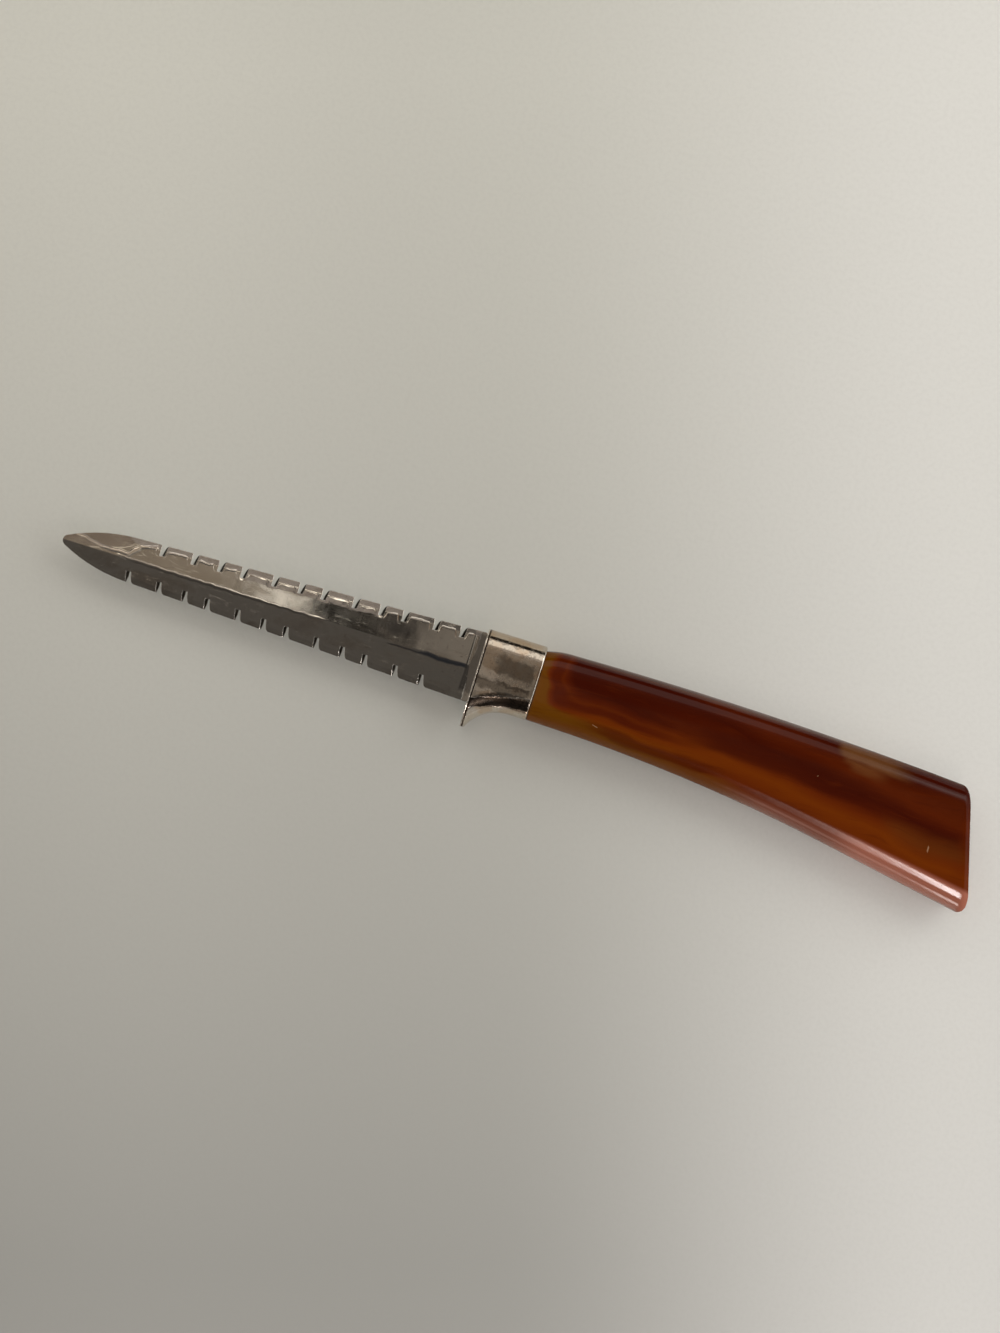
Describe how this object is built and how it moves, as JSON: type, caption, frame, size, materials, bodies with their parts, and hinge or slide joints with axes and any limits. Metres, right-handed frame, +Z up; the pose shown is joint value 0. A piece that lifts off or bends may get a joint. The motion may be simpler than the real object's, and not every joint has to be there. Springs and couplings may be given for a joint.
{
  "type": "double serrated utility knife",
  "caption": "Kitchen knife with a pointed blade notched along both edges, a metal bolster with a finger guard and a swirled amber resin handle with a slanted end.",
  "frame": {"origin": "centre of the knife's bounding box, on the surface it lies on", "axes": "+X along the knife from the tip to the butt, +Y across it away from the finger guard, +Z up out of its side"},
  "size_m": [0.2402, 0.033, 0.012],
  "materials": {
    "blade_steel": "ground and polished, lightly scratched",
    "bolster_metal": "polished plate, warm and a little tarnished",
    "handle_resin": "polished swirled amber and brown resin"
  },
  "bodies": {
    "root": {"blade": "blade_steel", "bolster": "bolster_metal", "handle": "handle_resin"}
  },
  "joints": []
}
